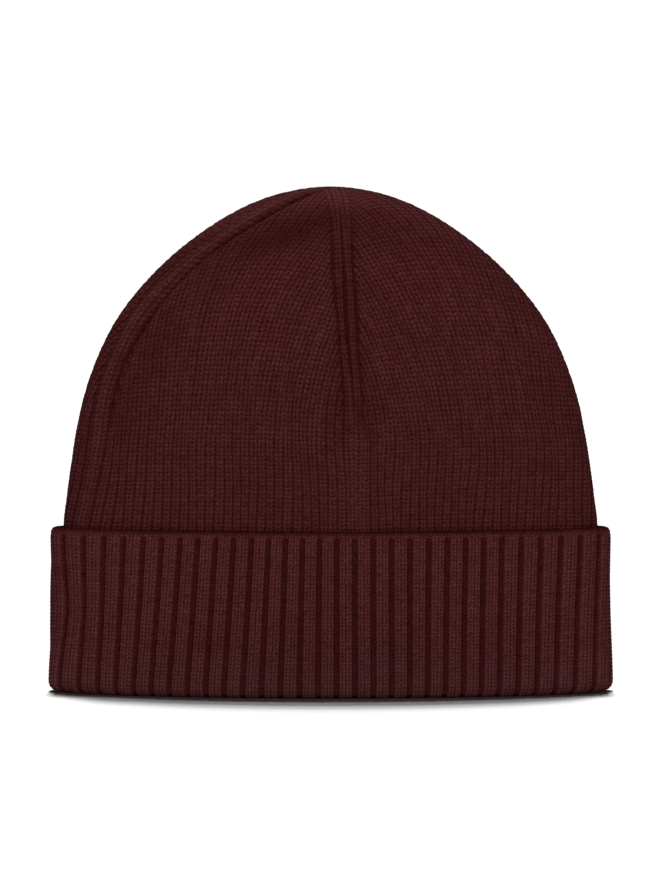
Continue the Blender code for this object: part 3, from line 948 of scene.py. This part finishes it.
def knit_sector(sector, first_rib, last_rib, outline, settings, profile, materials):
    """A stretch of the cuff from groove to groove: a ring of the cross-section, closed."""
    name, wales = CUFF_SECTORS[sector], 2 * (last_rib - first_rib) + 1
    course, top, fold_start = settings.course_height, profile["top"], profile["fold"]
    at, phase, in_wale = rib_columns(last_rib - first_rib)
    arc, stitch, is_fine = cuff_rows(profile, course)
    share = (first_rib + at + RIB_START)[None, :] / settings.ribs
    vee = -(settings.slant * course) * smile(phase) * in_wale
    ramp = is_fine * smooth(arc, fold_start - FOLD_COURSES * course, fold_start)
    ramp = ramp * (1 - smooth(arc, top - EDGE_FADE, top))
    shift = vee[None, :] * ramp[:, None]
    reached = arc[:, None] + shift
    section = read_line(reached, profile["arc"], profile["line"])
    out = read_line(reached, profile["arc"], profile["out"])

    fine, stitch_up = is_fine[:, None], stitch[:, None]
    ribs_end = top - EDGE_ROLL - RIB_RUN_OUT
    ribbed = (1 - smooth(arc, ribs_end, ribs_end + RIB_RUN_OUT)) * smooth(arc, 0.0, RIB_RUN_IN)
    ribbed = ribbed[:, None]
    knitted = (1 - smooth(arc, top, top + EDGE_FADE))[:, None] * fine
    wale_proud = np.where(fine > 0, stitch_legs(phase[None, :], stitch_up) * in_wale[None, :], 0.0)
    edge_proud = stitch_legs((at * WALES_A_RIB) % 1, stitch_up) * EDGE_LEGS + EDGE_BASE
    shown = wale_proud * ribbed + edge_proud * (1 - ribbed)
    under = smooth(-out[..., 1], *FOLD_FACING)
    relief = rib_relief(at, stitch, settings.groove_depth) * ribbed * (1 - (1 - FOLD_GROOVE) * under)
    relief = relief + settings.stitch_depth * (shown - 1) * knitted
    standing = 1 - smooth(section[..., 1], 0.0, FLARE_HEIGHT)
    relief = relief + FLARE * standing * np.maximum(out[..., 0], 0.0)
    offset = section[..., 0] + relief * out[..., 0]
    height = np.maximum(section[..., 1] + relief * out[..., 1], 0.0)
    spot, normal = rib_spots(share, height / CUFF_HEIGHT, outline)
    spot = spot + offset[..., None] * normal
    points = np.concatenate([spot, height[..., None]], axis=-1).reshape(-1, 3)

    rows, columns = reached.shape
    index = np.arange(rows * columns).reshape(rows, columns)
    index = np.concatenate([index, index[:1]])
    down = np.arange(rows + 1)[:, None] + np.pad(shift, ((0, 1), (0, 0))) / course * COURSE_ROWS
    bake_net = pairs((at / at[-1])[None, :], np.clip(down / rows, 0, 1))
    cells = np.arange((rows + 1) * columns).reshape(rows + 1, columns)
    faces, bake = [net_faces(index)], [into_box(bake_net, *CUFF_BOX)[net_faces(cells)]]
    half = int(np.searchsorted(arc, top))
    for step, end in enumerate((0, columns - 1)):
        strip, places = zip_edges(index[: half + 1, end], index[half:, end][::-1], points)
        turned = -1 if end else 1
        low = END_START + END_PITCH * step
        faces.append(strip[:, ::turned])
        box = (low, CUFF_BOX[0][1]), (low + END_WIDTH, CUFF_BOX[1][1])
        bake.append(into_box(places[:, ::turned, ::-1], *box))

    tones = random_numbers(name, -1, 1, (rows, wales))
    stitch_column = np.minimum((at * 2).astype(int), wales - 1)
    tone = tones[(arc / course).astype(int)][:, stitch_column]
    from_groove = np.abs(to_nearest(at))
    # painted shade in the rib grooves: lighter along the purl ridge, and in leaning dots on its bumps
    in_groove = 1 - smooth(from_groove, SHADE_FLOOR, GROOVE_SLOPE)
    in_groove = in_groove * (1 - PURL_LESS_SHADE * bell(from_groove, PURL_WIDTH))
    purl = 1 - PURL_DOTS * np.sin(math.pi * (stitch_up + from_groove[None, :] * DOT_TURNS)) ** 2
    # painted shade in the stitches' hollows and in the rib grooves
    hollow = np.maximum(painted_shade_of(shown) * fine, in_groove[None, :] * ribbed * purl)
    # painted shade along the cuff's top edge
    lip = smooth(arc, top - LIP_START, top - LIP_WHOLE) * is_fine
    hollow = np.where(fine > 0, np.maximum(hollow, lip[:, None] * LIP_PAINTED_SHADE), BACKS_PAINTED_SHADE)
    # painted light bounced up from the floor, near the fold
    fold = PAINTED_BOUNCE_LIGHT * (1 - smooth(points[:, 2], 0.0, PAINTED_BOUNCE_LIGHT_HEIGHT))
    # the tone mark: the stitches' random tone, less the painted lip shade, plus the painted bounce
    # light
    tone = (RANDOM_TONE * tone - LIP_PAINTED_DARKENING * lip[:, None]).ravel() + fold
    marks = {"hollow": hollow.ravel(), "tone": tone}
    knit = pairs(at[None, :] * WALES_A_RIB, arc[:, None] / course)
    finish = np.zeros(sum(map(len, faces)))
    rims = index[:, [0, -1]].ravel()
    piece = mesh_piece(name, points, faces, bake, finish, marks, knit, materials, rims)
    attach(piece, "root")
    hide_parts("cuff")
    return piece


def set_sockets(tree, node, sockets):
    """Gives a node's inputs their values, or links them to the outputs given for them."""
    for name, value in sockets.items():
        if isinstance(value, bpy.types.NodeSocket):
            tree.links.new(value, node.inputs[name])
        else:
            node.inputs[name].default_value = value


def add_node(tree, kind, place, sockets, **settings):
    """The outputs of a new shader node, made at a place with its settings and inputs."""
    node = tree.nodes.new("ShaderNode" + kind)
    node.location = place
    for name, value in settings.items():
        setattr(node, name, value)
    set_sockets(tree, node, sockets)
    return node.outputs


def mix_colours(tree, place, share, first, second):
    """Two colours mixed: they go into the seventh and eighth inputs of the mixing node."""
    return add_node(tree, "Mix", place, {0: share, 6: first, 7: second}, data_type="RGBA")[2]


def new_group(name, inputs, outputs):
    """An empty node group with named sockets: what it is given, and what it puts out."""
    tree = bpy.data.node_groups.new(name, "ShaderNodeTree")
    for in_out, sockets in (("INPUT", inputs), ("OUTPUT", outputs)):
        for label, kind in sockets.items():
            tree.interface.new_socket(label, in_out=in_out, socket_type="NodeSocket" + kind)
    return tree, tree.nodes.new("NodeGroupInput").outputs, tree.nodes.new("NodeGroupOutput").inputs


def yarn_tone_group():
    """Colour of the yarn: painted shade in the hollows, uneven from stitch to stitch and in clouds.

    A soft noise turns it between two reds. The painted shade mixes in the same red times
    PAINTED_SHADE_TINT, and a fine noise with the tone mark, which also carries painted light and
    shade, times a dark or a pale fibre's tint.
    """
    tree, given, end = new_group(
        "yarn tone",
        {"Colour": "Color", "Warm": "Color", "Hollow": "Float", "Tone": "Float", "Depth": "Float",
         "Place": "Vector"},
        {"Colour": "Color"},
    )
    place = given["Place"]
    clouds = add_node(tree, "TexNoise", (-800, 400),
                      {"Vector": place, "Scale": CLOUDS, "Detail": 2.0, "Roughness": 0.6})
    spread = add_node(tree, "MapRange", (-600, 400), {"Value": clouds["Fac"], **CLOUD_RANGE})
    hue = mix_colours(tree, (-400, 400), spread["Result"], given["Colour"], given["Warm"])
    # the painted shade's colour: the yarn's red times its tint
    deep = add_node(tree, "VectorMath", (-200, 200), {0: hue, 1: PAINTED_SHADE_TINT}, operation="MULTIPLY")
    share = add_node(tree, "Math", (-400, 0), {0: given["Hollow"], 1: given["Depth"]},
                     operation="MULTIPLY")
    shaded = mix_colours(tree, (0, 300), share[0], hue, deep[0])
    flecks = add_node(tree, "TexNoise", (-800, -200), {"Vector": place, "Scale": FLECKS, "Detail": 1.5})
    uneven = add_node(tree, "Math", (-600, -200), {0: given["Tone"], 1: TONE_SHARE, 2: flecks["Fac"]},
                      operation="MULTIPLY_ADD")
    grain = add_node(tree, "MapRange", (-400, -200), {"Value": uneven[0], **FLECK_RANGE})
    # a dark or pale fibre's tint, picked by the fleck noise and by the tone with its painted light and
    # shade
    fibre = mix_colours(tree, (-200, -200), grain["Result"], (*DARK_FIBRE_AND_SHADE, 1.0), (*PALE_FIBRE_AND_LIGHT, 1.0))
    colour = add_node(tree, "VectorMath", (200, 100), {0: shaded, 1: fibre}, operation="MULTIPLY")
    tree.links.new(colour[0], end["Colour"])
    return tree


def yarn_fibre_group():
    """Height of the yarn's fibres: a fine noise and a coarser one, added."""
    tree, given, end = new_group("yarn fibres", {"Place": "Vector"}, {"Height": "Float"})
    fine, coarse = [
        add_node(tree, "TexNoise", place, {"Vector": given["Place"], "Scale": scale, "Detail": 2.0})
        for place, scale in (((-400, 100), FIBRES), ((-400, -200), TUFTS))
    ]
    both = add_node(tree, "Math", (-200, 0), {0: fine["Fac"], 1: coarse["Fac"]}, operation="ADD")
    tree.links.new(both[0], end["Height"])
    return tree


def yarn_material(name, colour, warm, depth, settings, groups):
    """A matt yarn without shine: toned by its marks, which carry painted shade and light, and roughened
    by its fibres.
    """
    material = bpy.data.materials.new(name)
    material.use_nodes = True
    tree = material.node_tree
    place = add_node(tree, "TexCoord", (-900, 0), {})["Object"]
    # the marks: painted shade, and the tone, which carries painted light and shade as well
    hollow = add_node(tree, "Attribute", (-900, 300), {}, attribute_name="hollow")
    tone = add_node(tree, "Attribute", (-900, 500), {}, attribute_name="tone")
    toned = add_node(
        tree, "Group", (-400, 300),
        {"Colour": colour, "Warm": warm, "Depth": depth, "Place": place,
         "Hollow": hollow["Fac"], "Tone": tone["Fac"]},
        node_tree=groups["tone"])
    fibres = add_node(tree, "Group", (-400, -200), {"Place": place}, node_tree=groups["fibres"])
    bump = add_node(tree, "Bump", (-200, -200), {
        "Strength": settings.fibre_strength, "Distance": FIBRE_HEIGHT, "Height": fibres["Height"]})
    set_sockets(tree, tree.nodes["Principled BSDF"], {
        "Roughness": settings.roughness, "Specular IOR Level": 0.0,
        "Base Color": toned["Colour"], "Normal": bump["Normal"]})
    return material


# What the settings' properties have in common
LENGTH = {"precision": 4, "unit": "LENGTH", "subtype": "DISTANCE"}
COLOUR = {"subtype": "COLOR", "size": 4, "min": 0.0, "max": 1.0}
FACTOR = {"subtype": "FACTOR", "min": 0.0, "max": 1.0}


class CrownSettings(bpy.types.PropertyGroup):
    """Sizes of the plain-knit crown that a user would change."""

    plain_wale: bpy.props.FloatProperty(
        name="Plain wale", description="Width of a wale of the plain knit",
        default=0.0033, **LENGTH)
    dart_wale: bpy.props.FloatProperty(
        name="Dart wale", description="Width of each of the front and back darts' two wales",
        default=0.0041, **LENGTH)
    side_dart_wale: bpy.props.FloatProperty(
        name="Side dart wale", description="Width of each of the side darts' two wales",
        default=0.0035, **LENGTH)
    stitch_depth: bpy.props.FloatProperty(
        name="Stitch depth", description="From the crest of a stitch to its groove",
        default=0.0007, **LENGTH)
    slant: bpy.props.FloatProperty(
        name="Slant", description="Rise of a stitch's legs, in courses", default=0.32)


class CuffSettings(bpy.types.PropertyGroup):
    """Sizes of the ribbed cuff that a user would change."""

    ribs: bpy.props.IntProperty(name="Ribs", description="Ribs round the cuff", default=65)
    course_height: bpy.props.FloatProperty(
        name="Course height", description="Height of a stitch of the ribs",
        default=0.00152, **LENGTH)
    groove_depth: bpy.props.FloatProperty(
        name="Groove depth", description="Depth of the grooves between the ribs",
        default=0.0014, **LENGTH)
    stitch_depth: bpy.props.FloatProperty(
        name="Stitch depth", description="From the crest of a stitch to its groove",
        default=0.0005, **LENGTH)
    slant: bpy.props.FloatProperty(
        name="Slant", description="Rise of a stitch's legs, in courses", default=0.55)


class YarnSettings(bpy.types.PropertyGroup):
    """Colours and finish of the yarn that a user would change."""

    crown_colour: bpy.props.FloatVectorProperty(
        name="Crown", description="Colour of the crown's yarn",
        default=(0.0486, 0.0114, 0.0128, 1.0), **COLOUR)
    crown_warm: bpy.props.FloatVectorProperty(
        name="Crown, browner", description="Browner tone of the crown's yarn",
        default=(0.0490, 0.0121, 0.0110, 1.0), **COLOUR)
    cuff_colour: bpy.props.FloatVectorProperty(
        name="Cuff", description="Colour of the cuff's yarn",
        default=(0.0592, 0.0152, 0.0177, 1.0), **COLOUR)
    cuff_warm: bpy.props.FloatVectorProperty(
        name="Cuff, browner", description="Browner tone of the cuff's yarn",
        default=(0.0600, 0.0166, 0.0158, 1.0), **COLOUR)
    roughness: bpy.props.FloatProperty(
        name="Roughness", description="Of the yarn", default=0.92, **FACTOR)
    fibre_strength: bpy.props.FloatProperty(
        name="Fibres", description="How strongly the fibres roughen the surface", default=0.35,
        **FACTOR)


class StageSettings(bpy.types.PropertyGroup):
    """The floor, the lights and the camera."""

    floor_colour: bpy.props.FloatVectorProperty(
        name="Floor", description="Colour of the floor", default=(0.9, 0.9, 0.9, 1.0), **COLOUR)
    front_power: bpy.props.FloatProperty(
        name="Front light", description="Power of the large soft light in front", default=76.5,
        unit="POWER")
    side_power: bpy.props.FloatProperty(
        name="Side lights", description="Power of the soft lights at the sides and behind",
        default=20.0, unit="POWER")
    top_power: bpy.props.FloatProperty(
        name="Top light", description="Power of the soft light above", default=70.0, unit="POWER")
    floor_light: bpy.props.FloatProperty(
        name="Floor light", description="Strength of the light that whitens the floor", default=4.2)
    room_light: bpy.props.FloatProperty(
        name="Room light", description="What the white room lights with, against how it looks",
        default=0.03)
    camera_distance: bpy.props.FloatProperty(
        name="Camera distance", description="From the middle of the picture", default=4.0,
        unit="LENGTH", subtype="DISTANCE")
    camera_height: bpy.props.FloatProperty(
        name="Camera elevation", description="Above the horizon", default=math.radians(2.1),
        unit="ROTATION", subtype="ANGLE")
    picture_width: bpy.props.FloatProperty(
        name="Picture width", description="What the picture takes in at the hat's middle",
        default=0.264, unit="LENGTH", subtype="DISTANCE")


def yarn_groups():
    """The two node groups that both yarns use, made once."""
    tone = bpy.data.node_groups.get("yarn tone") or yarn_tone_group()
    fibres = bpy.data.node_groups.get("yarn fibres") or yarn_fibre_group()
    return {"tone": tone, "fibres": fibres}


class BEANIE_OT_crown(bpy.types.Operator):
    """Knit the crown in four quarters between its darts"""

    bl_idname = "beanie.crown"
    bl_label = "Knit the crown"

    def execute(self, context):
        settings, yarn = context.scene.beanie_crown, context.scene.beanie_yarn
        groups = yarn_groups()
        outside = yarn_material("crown yarn", yarn.crown_colour, yarn.crown_warm, CROWN_SHADE_DEPTH,
                                yarn, groups)
        inside = yarn_material("crown inside", yarn.crown_colour, yarn.crown_warm, LINING_SHADE_DEPTH,
                               yarn, groups)
        dome = Dome(settings)
        for quarter in range(len(QUARTERS)):
            knit_quarter(dome, quarter, settings, [outside, inside])
        return {"FINISHED"}


class BEANIE_OT_cuff(bpy.types.Operator):
    """Knit the turned-up ribbed cuff in four stretches"""

    bl_idname = "beanie.cuff"
    bl_label = "Knit the cuff"

    def execute(self, context):
        settings, yarn = context.scene.beanie_cuff, context.scene.beanie_yarn
        rib_yarn = yarn_material("cuff yarn", yarn.cuff_colour, yarn.cuff_warm, CUFF_SHADE_DEPTH,
                                 yarn, yarn_groups())
        points, normals, (run, _) = lens_outline(
            np.array([[CROWN_HALF_WIDTH]]), np.array([[CROWN_HALF_DEPTH]]),
            np.array([[CROWN_SECTIONS[0]["sharp"]]]),
        )
        profile = cuff_profile()
        ends = np.round(np.linspace(0, settings.ribs, len(CUFF_SECTORS) + 1)).astype(int)
        for sector in range(len(CUFF_SECTORS)):
            knit_sector(sector, ends[sector], ends[sector + 1], (points[0], normals[0], run[0]),
                        settings, profile, [rib_yarn])
        return {"FINISHED"}


class BEANIE_OT_stage(bpy.types.Operator):
    """Set the pale floor, the soft lights and the camera"""

    bl_idname = "beanie.stage"
    bl_label = "Set the stage"

    def execute(self, context):
        settings = context.scene.beanie_stage
        hat = bpy.data.collections.new("lit by the soft boxes")
        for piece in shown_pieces():
            hat.objects.link(piece)
        ground = bpy.data.collections.new("lit from above")
        ground.objects.link(self.lay_floor(settings))
        for light in LIGHTS:
            power = getattr(settings, light["power"])
            self.hang_light(hat, light["name"], light["place"], light["size"], power)
        self.whiten_floor(ground, settings)
        self.paint_room(context, settings)
        self.set_camera(context, settings)
        context.scene.view_settings.view_transform = "Standard"
        return {"FINISHED"}

    def lay_floor(self, settings):
        """A wide flat floor: a net of x by y at the height on which the hat rests."""
        line = np.linspace(-FLOOR_HALF, FLOOR_HALF, FLOOR_POINTS)
        x, y = np.meshgrid(line, line)
        points = np.stack([x, y, np.zeros_like(x)], axis=-1).reshape(-1, 3)
        index = np.arange(x.size).reshape(x.shape)
        mesh = bpy.data.meshes.new("floor")
        mesh.from_pydata(points.tolist(), [], net_faces(index).tolist())
        floor = add_object("floor", mesh)
        material = bpy.data.materials.new("pale floor")
        material.use_nodes = True
        shader = material.node_tree.nodes["Principled BSDF"]
        shader.inputs["Base Color"].default_value = settings.floor_colour
        shader.inputs["Roughness"].default_value = FLOOR_ROUGHNESS
        mesh.materials.append(material)
        floor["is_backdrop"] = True
        return floor

    def whiten_floor(self, ground, settings):
        """A column of suns above and behind, for the floor alone: they lay the hat's short
        soft shadow before it, and hardly beside it."""
        for sun in FLOOR_SUNS:
            data = bpy.data.lights.new("floor sun", "SUN")
            data.energy = settings.floor_light * sun["share"]
            data.angle = math.radians(FLOOR_SUN_ANGLE)
            light = add_object("floor sun", data)
            light.rotation_euler = (math.radians(sun["elevation"] - 90), 0.0, 0.0)
            light.light_linking.receiver_collection = ground

    def paint_room(self, context, settings):
        """A room that looks white and lights only a little."""
        world = bpy.data.worlds.new("white room")
        world.use_nodes = True
        tree = world.node_tree
        background = tree.nodes["Background"]
        path = add_node(tree, "LightPath", (-400, 0), {})
        strength = add_node(tree, "MapRange", (-200, 0), {
            "Value": path["Is Camera Ray"], "To Min": settings.room_light, "To Max": ROOM_WHITE})
        set_sockets(tree, background, {"Color": (1.0, 1.0, 1.0, 1.0), "Strength": strength["Result"]})
        context.scene.world = world

    def hang_light(self, lit, name, place, size, power):
        """A square soft light that faces the middle of the hat, and lights only the hat."""
        data = bpy.data.lights.new(name, "AREA")
        data.shape = "SQUARE"
        data.size = size
        data.energy = power
        light = add_object(name, data)
        light.location = place
        light.light_linking.receiver_collection = lit
        light.light_linking.blocker_collection = lit
        light.visible_camera = False
        aim = np.array([0.0, 0.0, HAT_MIDDLE]) - np.array(place)
        light.rotation_mode = "XYZ"
        light.rotation_euler = (math.atan2(math.hypot(aim[0], aim[1]), -aim[2]), 0.0,
                                math.atan2(-aim[0], aim[1]))

    def set_camera(self, context, settings):
        """A camera in front and a little above, whose picture is as wide as settings say."""
        data = bpy.data.cameras.new("camera")
        data.sensor_width = SENSOR
        picture_height = settings.picture_width * PHOTO_HEIGHT / PHOTO_WIDTH
        data.lens = SENSOR * settings.camera_distance / picture_height
        camera = add_object("camera", data)
        level = settings.camera_height
        across, ahead, up = CAMERA_AIM
        camera.location = (across, ahead - settings.camera_distance * math.cos(level),
                           up + settings.camera_distance * math.sin(level))
        camera.rotation_euler = (math.pi / 2 - level, 0.0, 0.0)
        context.scene.camera = camera


class BEANIE_PT_sidebar(bpy.types.Panel):
    """The beanie's steps and settings"""

    bl_label = "Beanie"
    bl_idname = "BEANIE_PT_sidebar"
    bl_space_type = "VIEW_3D"
    bl_region_type = "UI"
    bl_category = "Beanie"

    def draw(self, context):
        for group, step in SECTIONS.items():
            box = self.layout.box()
            settings = getattr(context.scene, group)
            for name in settings.bl_rna.properties.keys():
                if name not in ("name", "rna_type"):
                    box.prop(settings, name)
            if step:
                box.operator(step)


# The groups of settings in the sidebar, and the step that each belongs to
SECTIONS = {
    "beanie_yarn": None,
    "beanie_crown": BEANIE_OT_crown.bl_idname,
    "beanie_cuff": BEANIE_OT_cuff.bl_idname,
    "beanie_stage": BEANIE_OT_stage.bl_idname,
}
CLASSES = [CrownSettings, CuffSettings, YarnSettings, StageSettings,
           BEANIE_OT_crown, BEANIE_OT_cuff, BEANIE_OT_stage, BEANIE_PT_sidebar]


def register():
    for part in CLASSES:
        bpy.utils.register_class(part)
    bpy.types.Scene.beanie_crown = bpy.props.PointerProperty(type=CrownSettings)
    bpy.types.Scene.beanie_cuff = bpy.props.PointerProperty(type=CuffSettings)
    bpy.types.Scene.beanie_yarn = bpy.props.PointerProperty(type=YarnSettings)
    bpy.types.Scene.beanie_stage = bpy.props.PointerProperty(type=StageSettings)


def unregister():
    for group in SECTIONS:
        delattr(bpy.types.Scene, group)
    for part in reversed(CLASSES):
        bpy.utils.unregister_class(part)


def main():
    register()
    bpy.ops.beanie.crown()
    bpy.ops.beanie.cuff()
    bpy.ops.beanie.stage()


if __name__ == "__main__":
    main()
